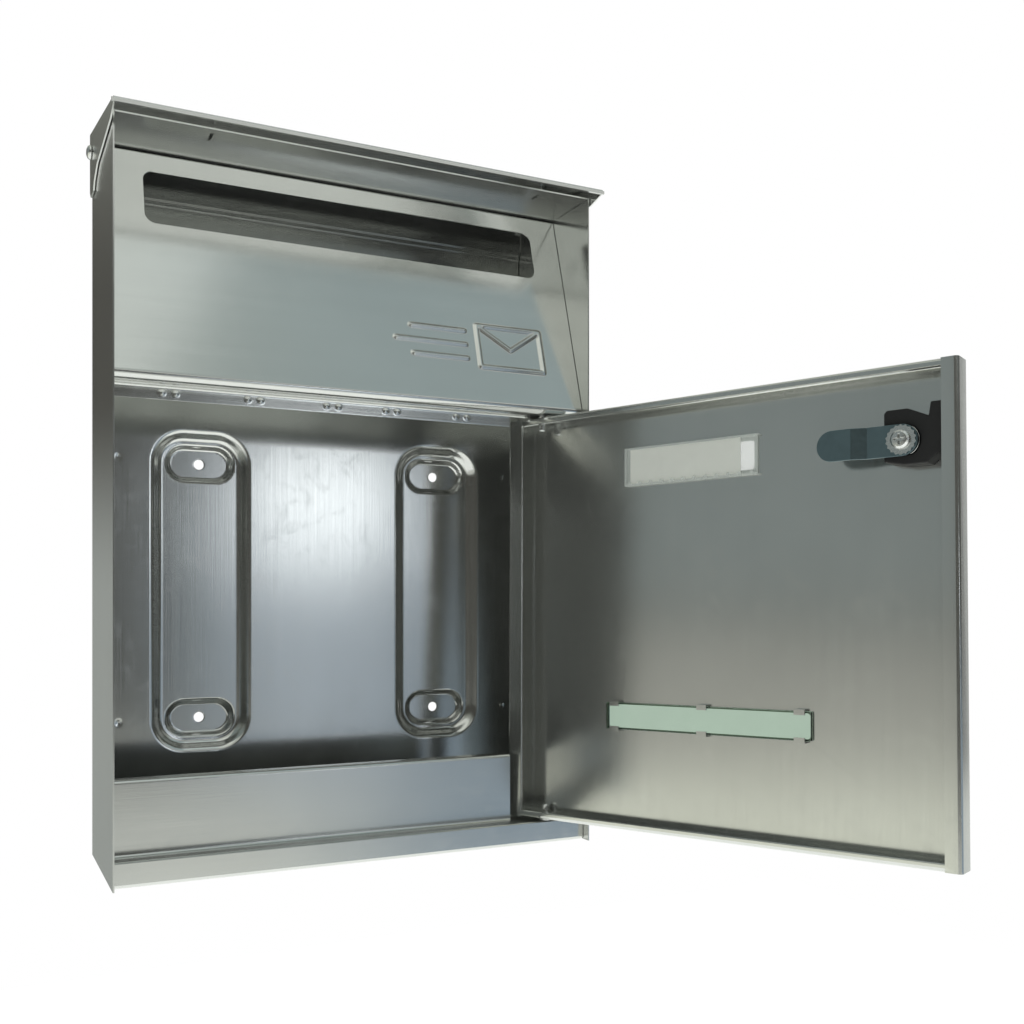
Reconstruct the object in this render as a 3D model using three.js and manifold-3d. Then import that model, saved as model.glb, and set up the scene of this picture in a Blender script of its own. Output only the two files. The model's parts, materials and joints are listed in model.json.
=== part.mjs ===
// Wall mounted mailbox in folded stainless sheet: a housing with an inclined slot panel, a pivoting
// rain lid, a pan door on two vertical pins with a name holder, a view window and a cam lock.
// Millimetres, +Z up, front towards -Y. The wall is the plane y = 0, and the origin is the centre of
// the four wall fixing holes on that plane. Housing pieces are written with z = 0 at their underside.
import * as THREE from "three";
import { mergeVertices } from "three/addons/utils/BufferGeometryUtils.js";
import Module from "manifold-3d";

const wasm = await Module();
wasm.setup();

// ---- Driving dimensions -------------------------------------------------------------------------
const housingWidth = 274; // over the side walls
const wallHeight = 390; // front edge of a side wall
const wallDepth = 95; // rear edge to front edge of a side wall
const sheet = 0.8; // thickness of every folded sheet
const bend = 1.2; // inner radius of an ordinary bend
const seam = 0.3; // clearance between pieces that touch

const wallStandOff = 7; // rear edge of a side wall to the wall
const ribDepth = 4.5; // ribs pressed out of the back panel
const fixingSpacing = 152; // square of the four wall fixing holes
const fixingHeight = 151.5; // centre of that square above the underside
const fixingHole = 6;
const ribWidth = 58;
const ribOverhang = 19.5; // rib end beyond the centre of its fixing hole
const ribSlope = 6.5;
const ribCorner = 20;
const padWidth = 35;
const padHeight = 17;
const padSlope = 2.5;
const rearFlange = 22; // side wall flange behind the back panel
const backDrop = 6; // top of the back panel below wallHeight
const backHem = 7; // hem along its top

const frontRecess = 6; // front edge of a side wall to the face of the closed door
const stripHeight = 12.6; // front strip of the floor panel
const floorFlange = 12;
const ledgeTop = 13; // ledge under the door
const sillTop = 52.5; // top of the recessed rail behind the door
const sillReturn = 8;

const doorDepth = 14; // depth of the door pan
const doorGap = 1.7; // clearance all round the closed door
const doorStopGap = 1; // closed door to the rail and the stop flange
const slotUnderside = 258; // underside of the slot panel, over the door
const stopFlange = 7; // flange that the door closes against
const slotBend = 3;
const slotPanelDrop = 1.3; // top of the slot panel below wallHeight
const slotPanelRecess = 38.4; // top of the inclined face behind its foot
const slotTopFlange = 12;
const hingeClear = 18.7; // rail and stop flange end this far from the pins: the door swings in there

const slotWidth = 234;
const slotHeight = 31;
const slotDrop = 12.5; // top of the slot below wallHeight
const slotCorner = 6;

const letterInset = 45; // pictogram: centre of the letter from the right side of the housing
const letterRise = 39; // and above the underside of the slot panel
const letterWidth = 42;
const letterHeight = 27;
const letterFold = 1; // point of the flap below the centre
const letterLineLength = 44; // longest of the three lines behind the letter
const letterLineStep = 10; // outer lines shorter than the middle one
const letterLineGap = 8; // lines to the letter
const letterLinePitch = 9;
const ridgeWidth = 3.2;
const ridgeHeight = 1.1;

const topPanelFront = 0.6; // front edge of the top panel behind the wall edges
const topPanelLip = 8;
const topOpening = 35; // opening between the top panel and the back panel
const topFlangeSetback = 20; // side flanges of the top panel behind the front edge of the walls
const topFlangeRise = 4;
const restInsets = [49, 32]; // lid rests lanced out of the top panel, from the left and right walls
const restLength = 11;
const restSlotWidth = 1.8;
const restGap = 0.4; // lid rest to the underside of the closed lid

const lidOverhang = 14; // lid hem in front of the side walls
const lidFrontRise = 0.7; // front and rear of the lid above wallHeight
const lidRearRise = 22;
const lidGap = 0.5; // side wall to lid cheek
const lidHem = 2.6;
const lidHemDepth = 1.6; // folded hem, front to back
const lidHemSide = 0.9; // hem beyond each cheek
const cheekFrontDrop = 5.6; // lower edge of the cheek below the front of the lid, at the side wall
const cheekWaistDrop = 7; // and where it starts to widen
const cheekWaist = 26; // that place in front of the pivot
const cheekLobe = 24; // bottom of the cheek below the pivot
const cheekLobeFront = 12; // front of that end in front of the pivot
const cheekCorner = 4;
const lidSetback = 0.5; // rear of the lid in front of the rear edge of the side walls
const pivotSetback = 9; // pivot in front of the rear edge of the side wall
const pivotRise = 9; // pivot above wallHeight
const pivotRound = 9.3; // rounding of the side wall about the pivot
const rivetShank = 4;
const rivetHead = 8;
const rivetHeadHeight = 2.4;
const rivetTail = 6.8;
const rivetTailHeight = 1.4;
const lidGuardLap = 4; // light guard under the lid, hanging in front of the hem of the back panel

const hingeInset = 22; // pin centre from the hinge edge of the door
const hingeLean = 4.2; // lower pin in front of the upper one
const hingePin = 4;
const hingePinStand = 7; // pin beyond the door flange
const hingePinHead = 4.6; // peened end behind the sheet
const hingePinHeadHeight = 1;
const hingePinTip = 0.7; // chamfer
const hingeFit = 0.3; // radial clearance of the pin holes
const hingeWasher = 9;
const hingeLip = 10; // return lip of the door pan at the pins, at the lock, and above and below
const freeLip = 8;
const flangeLip = 3.5;
const doorOpenDegrees = 115;

const nameCentre = 120; // from the hinge edge of the door
const nameCentreZ = 222;
const nameWidth = 84;
const nameHeight = 22;
const viewCentre = 128;
const viewCentreZ = 78;
const viewWidth = 126;
const viewHeight = 15.4;
const viewThickness = 2;
const viewLap = 1; // view window beyond its opening
const viewTabs = [-57, 0, 57]; // bent tabs that hold it
const viewTabWidth = 6;
const viewTabLap = 1.9;
const nameLap = 3.2; // name holder beyond its opening
const nameThickness = 1;
const cardThickness = 0.4;
const cardShort = 7; // the card stops short of the open end of the holder
const holderSheet = 0.5;
const holderLip = 1.2;
const holderBeads = 12;
const holderBead = 2.4;
const openingCorner = 1.5;

const lockInset = 26.4; // lock axis from the free edge of the door
const lockZ = 219;
const barrel = 16;
const barrelFlats = 13.4;
const lockFlange = 21;
const lockFlangeHeight = 2.2;
const plug = 10.5;
const plugStand = 0.3; // plug in front of the ring
const keywayWidth = 1.8;
const keywayLength = 7.2;
const keywayDepth = 8;
const camSetback = 0.6; // root of the cam in front of the rear of the door pan
const camBehindStop = 0.6; // tip of the locked cam behind the stop flange
const camThickness = 1.6;
const camWidth = 15.5;
const camReach = 41.5;
const camCrankStart = 17;
const camCrankRun = 7;
const driveSquare = 6;
const camScrew = 4;
const camScrewDepth = 5; // thread in the plug
const screwHead = 9.2;
const screwHeadHeight = 2.4;
const screwCross = 5.2;
const screwCrossWidth = 1;
const screwCrossDepth = 1.4;
const washerThickness = 0.8;
const washerTeeth = 18;
const washerTooth = 0.7;

// ---- Values worked out from them ----------------------------------------------------------------
const halfWidth = housingWidth / 2;
const innerHalf = halfWidth - sheet;
const panelHalf = innerHalf - seam; // pieces that sit between the side walls
const yRear = -wallStandOff;
const yFront = yRear - wallDepth;
const yFace = yFront + frontRecess; // face of the closed door, strip and slot panel foot
const yStop = yFace + doorDepth + doorStopGap; // front of the rail and the stop flange
const backRearY = yRear - sheet - seam;
const backFrontY = backRearY - sheet;
const backHemFront = backFrontY - seam - sheet;
const half = sheet / 2;
const backTop = wallHeight - backDrop;
const slotPanelTop = wallHeight - slotPanelDrop;
const slotTopZ = wallHeight - slotDrop;
const slotBottomZ = slotTopZ - slotHeight;
const lidFrontZ = wallHeight + lidFrontRise;
const lidRearZ = wallHeight + lidRearRise;
const pivotZ = wallHeight + pivotRise;

const lidHalf = halfWidth + lidGap + sheet;
const lidFrontY = yFront - lidOverhang;
const lidRearY = yRear - lidSetback;
const lidSlope = (lidRearZ - lidFrontZ) / (lidRearY - lidFrontY);
const lidTopAt = (y) => lidFrontZ + (y - lidFrontY) * lidSlope;
const pivotY = yRear - pivotSetback;

const doorWidth = housingWidth - 2 * sheet - 2 * doorGap;
const doorBottom = ledgeTop + doorGap;
const doorTop = slotUnderside - doorGap;
const hingeX = innerHalf - doorGap - hingeInset;
const hingeY = yFace + doorDepth / 2;
const hingeClearX = hingeX - hingeClear;
const camRoot = doorDepth - camSetback; // front face of the cam on the lock, from the door's face
const camCrank = doorDepth + doorStopGap + sheet + camBehindStop - camRoot;
const pinLow = doorBottom + sheet / 2;
const pinHigh = doorTop - sheet / 2;
const pinY = (z) => hingeY + hingeLean * ((z - pinLow) / (pinHigh - pinLow) - 0.5);
const lockS = doorWidth - lockInset;
const plasticFront = sheet + seam; // front of both windows, behind the door's face
const cardFront = plasticFront + nameThickness + seam;
const camRear = camRoot + camThickness;
const washerFront = camRear + seam;
const washerRear = washerFront + washerThickness;
const screwSeat = washerRear + seam;
const fromHingeEdge = (s) => hingeInset - s; // door frame x of a distance from the hinge edge
const fromFace = (v) => v - doorDepth / 2; // door frame y of a depth behind the door's face

// ---- Materials ----------------------------------------------------------------------------------
const steel = (colour, roughness) =>
  new THREE.MeshStandardMaterial({ color: colour, roughness, metalness: 1, flatShading: true });
const plain = (colour, roughness) =>
  new THREE.MeshStandardMaterial({ color: colour, roughness, metalness: 0, flatShading: true });
const brushed = steel("#b4b7b3", 0.35);
const bright = steel("#c9cbca", 0.22);
const zinc = steel("#9fb0b6", 0.4);
const blackPlastic = plain("#15161a", 0.5);
const clearPlastic = plain("#dfe6e2", 0.15);
const greenPlastic = plain("#9fb8a8", 0.2);
const paper = plain("#e9ebe6", 0.8);

// ---- Solids -------------------------------------------------------------------------------------
function solid(geometry) {
  geometry.deleteAttribute("normal");
  geometry.deleteAttribute("uv");
  const merged = mergeVertices(geometry, 1e-4);
  return new wasm.Manifold(
    new wasm.Mesh({
      numProp: 3,
      vertProperties: merged.attributes.position.array,
      triVerts: new Uint32Array(merged.index.array),
    }),
  );
}

function part(name, body, material) {
  const { vertProperties, triVerts } = body.getMesh();
  const geometry = new THREE.BufferGeometry();
  geometry.setAttribute("position", new THREE.BufferAttribute(vertProperties, 3));
  geometry.setIndex(new THREE.BufferAttribute(triVerts, 1));
  geometry.computeVertexNormals();
  const mesh = new THREE.Mesh(geometry, material);
  mesh.name = name;
  return mesh;
}

const join = (first, ...rest) => rest.reduce((all, next) => all.add(next), first);
const cut = (first, ...rest) => rest.reduce((all, next) => all.subtract(next), first);

function block(x0, x1, y0, y1, z0, z1) {
  const box = new THREE.BoxGeometry(Math.abs(x1 - x0), Math.abs(y1 - y0), Math.abs(z1 - z0));
  return solid(box.translate((x0 + x1) / 2, (y0 + y1) / 2, (z0 + z1) / 2));
}

const axisX = new THREE.Vector3(1, 0, 0);
const axisY = new THREE.Vector3(0, 1, 0);
const axisZ = new THREE.Vector3(0, 0, 1);

function extrude(outline, depth) {
  const shape = new THREE.Shape(outline.map(([a, b]) => new THREE.Vector2(a, b)));
  return new THREE.ExtrudeGeometry(shape, { depth, bevelEnabled: false });
}

// An outline of (y, z) points carried along X, and one of (x, z) points carried along Y.
function alongX(outline, x0, x1) {
  const turn = new THREE.Matrix4().makeBasis(axisY, axisZ, axisX);
  return solid(extrude(outline, x1 - x0).applyMatrix4(turn).translate(x0, 0, 0));
}
function alongY(outline, y0, y1) {
  const turn = new THREE.Matrix4().makeBasis(axisX, axisZ, axisY.clone().negate());
  return solid(extrude(outline, y1 - y0).applyMatrix4(turn).translate(0, y1, 0));
}

// A closed outline of equal count at two depths, joined by straight sides.
function loft(rear, yRearmost, front, yFrontmost) {
  const ring = (outline, y) => outline.flatMap(([x, z]) => [x, y, z]);
  const count = rear.length;
  const caps = THREE.ShapeUtils.triangulateShape(
    rear.map(([x, z]) => new THREE.Vector2(x, z)),
    [],
  );
  const index = [];
  caps.forEach(([a, b, c]) => {
    index.push(a, c, b);
    index.push(count + a, count + b, count + c);
  });
  for (let i = 0; i < count; i += 1) {
    const next = (i + 1) % count;
    index.push(i, next, count + next);
    index.push(i, count + next, count + i);
  }
  const geometry = new THREE.BufferGeometry();
  const points = [...ring(rear, yRearmost), ...ring(front, yFrontmost)];
  geometry.setAttribute("position", new THREE.Float32BufferAttribute(points, 3));
  geometry.setIndex(index);
  return solid(geometry);
}

function roundRect(cx, cz, width, height, radius, steps = 6) {
  const r = Math.min(radius, width / 2, height / 2);
  const corners = [
    [width / 2 - r, height / 2 - r, 0],
    [r - width / 2, height / 2 - r, 90],
    [r - width / 2, r - height / 2, 180],
    [width / 2 - r, r - height / 2, 270],
  ];
  return corners.flatMap(([x, z, from]) =>
    Array.from({ length: steps + 1 }, (_, i) => {
      const angle = THREE.MathUtils.degToRad(from + (90 * i) / steps);
      return [cx + x + r * Math.cos(angle), cz + z + r * Math.sin(angle)];
    }),
  );
}

// The outline of a bent sheet: a path through the middle of the sheet, with every corner rounded.
function bentSheet(path, radius = bend, thickness = sheet, steps = 4) {
  const middle = [];
  const unit = (a, b) => new THREE.Vector2(b[0] - a[0], b[1] - a[1]).normalize();
  path.forEach((point, i) => {
    if (i === 0 || i === path.length - 1) {
      const direction = i ? unit(path[i - 1], point) : unit(point, path[1]);
      middle.push({ at: new THREE.Vector2(...point), direction });
      return;
    }
    const before = unit(path[i - 1], point);
    const after = unit(point, path[i + 1]);
    const turn = Math.atan2(before.cross(after), before.dot(after));
    const r = (Array.isArray(radius) ? radius[i - 1] : radius) + thickness / 2;
    const back = r * Math.tan(Math.abs(turn) / 2);
    const start = new THREE.Vector2(...point).addScaledVector(before, -back);
    const side = new THREE.Vector2(-before.y, before.x).multiplyScalar(Math.sign(turn));
    const centre = start.clone().addScaledVector(side, r);
    for (let k = 0; k <= steps; k += 1) {
      const angle = (turn * k) / steps;
      const spoke = start.clone().sub(centre).rotateAround(new THREE.Vector2(), angle);
      const direction = before.clone().rotateAround(new THREE.Vector2(), angle);
      middle.push({ at: centre.clone().add(spoke), direction });
    }
  });
  const offset = (side) =>
    middle.map(({ at, direction }) => [
      at.x - (direction.y * side * thickness) / 2,
      at.y + (direction.x * side * thickness) / 2,
    ]);
  return [...offset(-1), ...offset(1).reverse()];
}

// A round bar along Y, X or Z, between two stations.
function bar(direction, diameter, from, to, a, b, sides = 28) {
  const round = new THREE.CylinderGeometry(diameter / 2, diameter / 2, to - from, sides);
  round.translate(0, (from + to) / 2, 0);
  if (direction === "y") round.translate(a, 0, b);
  if (direction === "x") round.rotateZ(-Math.PI / 2).translate(0, a, b);
  if (direction === "z") round.rotateX(Math.PI / 2).translate(a, b, 0);
  return solid(round);
}

// A turned piece about an axis along X, Y or Z: (radius, station) points, with the stations rising
// along the axis, or falling along it when facing is -1.
function turned(direction, profile, a, b, sides = 28, facing = 1) {
  const points = profile.map(([radius, station]) => new THREE.Vector2(radius, station * facing));
  const spun = new THREE.LatheGeometry(facing < 0 ? points.reverse() : points, sides);
  if (direction === "x") spun.rotateZ(-Math.PI / 2).translate(0, a, b);
  if (direction === "y") spun.translate(a, 0, b);
  if (direction === "z") spun.rotateX(Math.PI / 2).translate(a, b, 0);
  return solid(spun);
}

// ---- Housing ------------------------------------------------------------------------------------
function backPanel() {
  const top = backTop;
  const hem = [
    [backRearY, top - bend],
    [backRearY, top],
    [backHemFront, top],
    [backHemFront, top - backHem],
    [backHemFront + sheet, top - backHem],
    [backHemFront + sheet, top - sheet],
    [backFrontY, top - sheet],
    [backFrontY, top - bend],
  ];
  let panel = block(-panelHalf, panelHalf, backFrontY, backRearY, sheet + seam, top - bend / 2);
  panel = join(panel, alongX(hem, -panelHalf, panelHalf));
  const ribHeight = fixingSpacing + 2 * ribOverhang;
  const ribRear = backRearY + ribDepth;
  const pressings = [-1, 1].flatMap((side) => {
    const x = (side * fixingSpacing) / 2;
    const rib = {
      wide: roundRect(x, fixingHeight, ribWidth, ribHeight, ribCorner),
      narrow: roundRect(
        x,
        fixingHeight,
        ribWidth - 2 * ribSlope,
        ribHeight - 2 * ribSlope,
        ribCorner - ribSlope / 2,
      ),
      from: backRearY,
      to: ribRear,
    };
    const pads = [-1, 1].map((end) => {
      const z = fixingHeight + (end * fixingSpacing) / 2;
      const wide = [padWidth + 2 * padSlope, padHeight + 2 * padSlope];
      return {
        wide: roundRect(x, z, ...wide, wide[1] / 2),
        narrow: roundRect(x, z, padWidth, padHeight, padHeight / 2),
        from: ribRear,
        to: 0,
      };
    });
    return [rib, ...pads];
  });
  pressings.forEach(({ wide, narrow, from, to }) => {
    panel = panel.add(loft(narrow, to, wide, from));
    panel = panel.add(loft(wide, from, wide, from - sheet));
  });
  pressings.forEach(({ wide, narrow, from, to }) => {
    panel = panel.subtract(loft(narrow, to - sheet, wide, from - sheet));
    panel = panel.subtract(loft(wide, from - sheet, wide, from - 2 * sheet));
  });
  [-1, 1].forEach((side) =>
    [-1, 1].forEach((end) => {
      const x = (side * fixingSpacing) / 2;
      const z = fixingHeight + (end * fixingSpacing) / 2;
      panel = panel.subtract(bar("y", fixingHole, -wallStandOff, 1, x, z, 20));
    }),
  );
  return part("back_panel", panel, brushed);
}

function sideWall(name, side) {
  const round = Array.from({ length: 9 }, (_, i) => {
    const angle = THREE.MathUtils.degToRad(-20 + (120 * i) / 8);
    return [pivotY + pivotRound * Math.cos(angle), pivotZ + pivotRound * Math.sin(angle)];
  });
  const outline = [[yFront, 0], [yRear, 0], [yRear, backTop], ...round, [yFront, wallHeight]];
  const inner = side * innerHalf;
  const outer = side * halfWidth;
  const plate = alongX(outline, Math.min(inner, outer), Math.max(inner, outer));
  const flangeEnd = side * (halfWidth - rearFlange);
  const flange = block(flangeEnd, outer, yRear - sheet, yRear, 0, backTop);
  const hole = bar("x", rivetShank + 2 * seam, -halfWidth - 1, halfWidth + 1, pivotY, pivotZ, 20);
  return part(name, cut(join(plate, flange), hole), brushed);
}

function floorPanel() {
  const rearY = backFrontY - seam - half;
  const fold = bentSheet([
    [yFace + half, stripHeight],
    [yFace + half, half],
    [rearY, half],
    [rearY, floorFlange],
  ]);
  const flangeFront = yStop + sheet + bend;
  const flanges = [-1, 1].map((side) =>
    block(side * (panelHalf - sheet), side * panelHalf, flangeFront, rearY - bend, 0, floorFlange),
  );
  return part("floor_panel", join(alongX(fold, -panelHalf, panelHalf), ...flanges), brushed);
}

// The hole of a hinge pin in the sheet that carries it.
function pinSeat(z, pinZ) {
  return bar("z", hingePin, z - 2 * sheet, z + 2 * sheet, hingeX, pinY(pinZ), 20);
}

function frontSill() {
  const lipY = yFace + sheet + seam + half;
  const railY = yStop + half;
  const ledgeZ = ledgeTop - half;
  const ledge = bentSheet([
    [lipY, ledgeTop / 2],
    [lipY, ledgeZ],
    [railY, ledgeZ],
  ]);
  const rail = bentSheet([
    [lipY + 2 * bend, ledgeZ],
    [railY, ledgeZ],
    [railY, sillTop - half],
    [railY + sillReturn, sillTop - half],
  ]);
  const endFlange = block(
    -panelHalf,
    -panelHalf + sheet,
    yStop + half,
    yStop + sillReturn + half,
    floorFlange + seam,
    sillTop - half,
  );
  const fold = join(
    alongX(ledge, -panelHalf, panelHalf),
    alongX(rail, -panelHalf, hingeClearX),
    endFlange,
  );
  return part("front_sill", cut(fold, pinSeat(ledgeTop, pinLow)), brushed);
}

function topPanel() {
  const rear = backFrontY - topOpening;
  const fold = bentSheet([
    [yFront + topPanelFront, wallHeight - half],
    [rear - half, wallHeight - half],
    [rear - half, wallHeight + topPanelLip],
  ]);
  const flanges = [-1, 1].map((side) =>
    block(
      side * (panelHalf - sheet),
      side * panelHalf,
      yFront + topFlangeSetback,
      rear - 2 * bend,
      wallHeight - sheet,
      wallHeight + topFlangeRise,
    ),
  );
  let panel = join(alongX(fold, -panelHalf, panelHalf), ...flanges);
  const restFront = yFront + frontRecess;
  const restTop = lidTopAt(restFront) - sheet / Math.cos(Math.atan(lidSlope)) - restGap;
  const restSlots = [restInsets[0] - halfWidth, halfWidth - restInsets[1]];
  restSlots.forEach((x) => {
    const slot = [x, x + restSlotWidth, restFront, restFront + restLength];
    panel = panel.subtract(block(...slot, wallHeight - 2 * sheet, wallHeight + sheet));
    const tab = [x + restSlotWidth, x + restSlotWidth + sheet, restFront, restFront + restLength];
    panel = panel.add(block(...tab, wallHeight - sheet, restTop));
  });
  return part("top_panel", panel, brushed);
}

// The face of the slot panel is a plane from its foot up to its top, so pieces on it are placed by
// their height: facePoint gives the depth of the plane there.
const slotFootY = yFace + half;
const slotHeadY = slotFootY + slotPanelRecess;
const slotHeadZ = slotPanelTop - half;
const slotFootZ = slotUnderside + half;
const slotLean = Math.atan2(slotHeadY - slotFootY, slotHeadZ - slotFootZ);
const slotPanelY = (z) => slotFootY + (z - slotFootZ) * Math.tan(slotLean);

// A flat outline of (x, height) points laid on the face of the slot panel, from one depth to another.
function onSlotPanel(outline, z, below, above) {
  const flat = extrude(outline, above - below);
  flat.translate(0, 0, below);
  flat.rotateX(Math.PI / 2 - slotLean);
  flat.translate(0, slotPanelY(z), z);
  return solid(flat);
}

// A raised pictogram of a closed letter with three lines behind it.
function pictogram() {
  const centreX = halfWidth - letterInset;
  const centreZ = slotUnderside + letterRise;
  const depths = [0, half + ridgeHeight];
  const stroke = (x0, z0, x1, z1) => {
    const length = Math.hypot(x1 - x0, z1 - z0);
    const angle = Math.atan2(z1 - z0, x1 - x0);
    const strip = roundRect(0, 0, length + ridgeWidth, ridgeWidth, ridgeWidth / 2, 3);
    const outline = strip.map(([a, b]) => [
      (x0 + x1) / 2 + a * Math.cos(angle) - b * Math.sin(angle),
      (z0 + z1) / 2 + a * Math.sin(angle) + b * Math.cos(angle),
    ]);
    return onSlotPanel(outline, centreZ, ...depths);
  };
  const right = letterWidth / 2;
  const high = letterHeight / 2;
  const corners = [
    [-right, -high],
    [right, -high],
    [right, high],
    [-right, high],
  ].map(([x, z]) => [centreX + x, z]);
  const sides = corners.map((corner, i) => stroke(...corner, ...corners[(i + 1) % 4]));
  const flap = [
    stroke(...corners[3], centreX, -letterFold),
    stroke(centreX, -letterFold, ...corners[2]),
  ];
  const lines = [-1, 0, 1].map((row) => {
    const end = centreX - right - letterLineGap;
    const length = letterLineLength - letterLineStep * Math.abs(row);
    return stroke(end - length, row * letterLinePitch, end, row * letterLinePitch);
  });
  return [...sides, ...flap, ...lines];
}

function slotPanel() {
  const fold = bentSheet(
    [
      [slotHeadY + slotTopFlange, slotHeadZ],
      [slotHeadY, slotHeadZ],
      [slotFootY, slotFootZ],
      [yStop + half, slotFootZ],
      [yStop + half, slotUnderside - stopFlange],
    ],
    [bend, slotBend, bend],
    sheet,
    6,
  );
  const slotMiddle = (slotTopZ + slotBottomZ) / 2;
  const slotLength = (slotTopZ - slotBottomZ) / Math.cos(slotLean);
  const outline = roundRect(0, 0, slotWidth, slotLength, slotCorner);
  const slot = onSlotPanel(outline, slotMiddle, -2 * sheet, 2 * sheet);
  const hingeNotch = block(
    hingeClearX,
    halfWidth,
    yStop - half,
    yStop + sheet + bend,
    slotUnderside - stopFlange - 1,
    slotUnderside,
  );
  const seat = pinSeat(slotUnderside, pinHigh);
  const panel = cut(alongX(fold, -panelHalf, panelHalf), slot, hingeNotch, seat);
  return part("slot_panel", join(panel, ...pictogram()), brushed);
}

function lidRivet(name, side) {
  const cheekFace = lidHalf + seam;
  const tailFace = innerHalf - seam;
  const headR = rivetHead / 2;
  const profile = [
    [0, tailFace - rivetTailHeight],
    [rivetTail / 2, tailFace - rivetTailHeight],
    [rivetTail / 2, tailFace],
    [rivetShank / 2, tailFace],
    [rivetShank / 2, cheekFace],
    [headR, cheekFace],
    [headR, cheekFace + rivetHeadHeight * 0.3],
    [headR * 0.8, cheekFace + rivetHeadHeight * 0.75],
    [headR * 0.4, cheekFace + rivetHeadHeight],
    [0, cheekFace + rivetHeadHeight],
  ];
  return part(name, turned("x", profile, pivotY, pivotZ, 20, side), bright);
}

// The pins stand in the ledge and in the underside of the slot panel, as headed studs. Stations go
// out from the sheet that carries the pin, into the door.
function doorPin(name, seatZ, outwards) {
  const r = hingePin / 2;
  const reach = doorGap + sheet + hingePinStand;
  const tail = sheet + seam;
  const profile = [
    [0, -tail - hingePinHeadHeight],
    [hingePinHead / 2, -tail - hingePinHeadHeight],
    [hingePinHead / 2, -tail],
    [r - seam, -tail],
    [r - seam, seam],
    [r, seam],
    [r, reach - hingePinTip],
    [r - hingePinTip, reach],
    [0, reach],
  ].map(([radius, station]) => [radius, station + outwards * seatZ]);
  const y = pinY(outwards > 0 ? pinLow : pinHigh);
  return part(name, turned("z", profile, hingeX, y, 20, outwards), bright);
}

function doorWasher() {
  const [low, high] = [ledgeTop + seam, ledgeTop + doorGap - seam];
  const ring = cut(
    bar("z", hingeWasher, low, high, hingeX, pinY(pinLow)),
    bar("z", hingePin + 2 * seam, low - 1, high + 1, hingeX, pinY(pinLow)),
  );
  return part("hinge_washer", ring, bright);
}

// ---- Lid: written in housing coordinates, then moved so that its pivot is the group's origin -----
function lid() {
  const slopeHalf = half / Math.cos(Math.atan(lidSlope));
  const hemY = lidFrontY + half;
  const roof = bentSheet(
    [
      [lidRearY, lidTopAt(lidRearY) - slopeHalf],
      [hemY, lidTopAt(hemY) - slopeHalf],
      [hemY, lidFrontZ - lidHem],
    ],
    0.5,
  );
  const hem = [
    [lidFrontY, lidFrontZ - lidHem],
    [lidFrontY + lidHemDepth, lidFrontZ - lidHem],
    [lidFrontY + lidHemDepth, lidTopAt(lidFrontY + lidHemDepth) - slopeHalf],
    [lidFrontY, lidFrontZ - sheet],
  ];
  const underRoof = (y) => [y, lidTopAt(y) - slopeHalf];
  const lobeFront = pivotY - cheekLobeFront;
  const lobeEnd = pivotZ - cheekLobe;
  const cheek = [
    underRoof(hemY + half),
    [hemY + half, lidFrontZ - lidHem],
    [yFront, lidFrontZ - cheekFrontDrop],
    [pivotY - cheekWaist, lidFrontZ - cheekWaistDrop],
    [lobeFront, lobeEnd + cheekCorner],
    [lobeFront + cheekCorner, lobeEnd],
    [lidRearY - cheekCorner, lobeEnd],
    [lidRearY, lobeEnd + cheekCorner],
    underRoof(lidRearY),
  ];
  const roundedHem = lidHalf + lidHemSide;
  const cheeks = [-1, 1].map((side) => {
    const faces = [side * (lidHalf - sheet), side * lidHalf];
    return alongX(cheek, Math.min(...faces), Math.max(...faces));
  });
  const holes = bar("x", rivetShank + 2 * seam, -lidHalf - 1, lidHalf + 1, pivotY, pivotZ, 20);
  const guardRear = backHemFront - 2 * seam;
  const guardTop = lidTopAt(guardRear - sheet) - slopeHalf;
  const guard = [guardRear - sheet, guardRear, backTop - lidGuardLap, guardTop];
  const folded = join(
    block(-panelHalf, panelHalf, ...guard),
    alongX(roof, -lidHalf, lidHalf),
    alongX(hem, -roundedHem, roundedHem),
    ...cheeks,
  );
  return part("lid", cut(folded, holes).translate([0, -pivotY, -pivotZ]), brushed);
}

// ---- Door: x runs from the pins towards the right wall, y = 0 is the pin line, z as in the housing -
function alongZ(outline, z0, z1) {
  return solid(extrude(outline, z1 - z0).translate(0, 0, z0));
}

function doorBox(s0, s1, v0, v1, z0, z1) {
  return block(fromHingeEdge(s1), fromHingeEdge(s0), fromFace(v0), fromFace(v1), z0, z1);
}

function barrelOutline(extra) {
  const round = roundRect(0, 0, barrel + 2 * extra, barrel + 2 * extra, barrel, 6);
  const limit = barrelFlats / 2 + extra;
  return round.map(([x, z]) => [x, THREE.MathUtils.clamp(z, -limit, limit)]);
}

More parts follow.
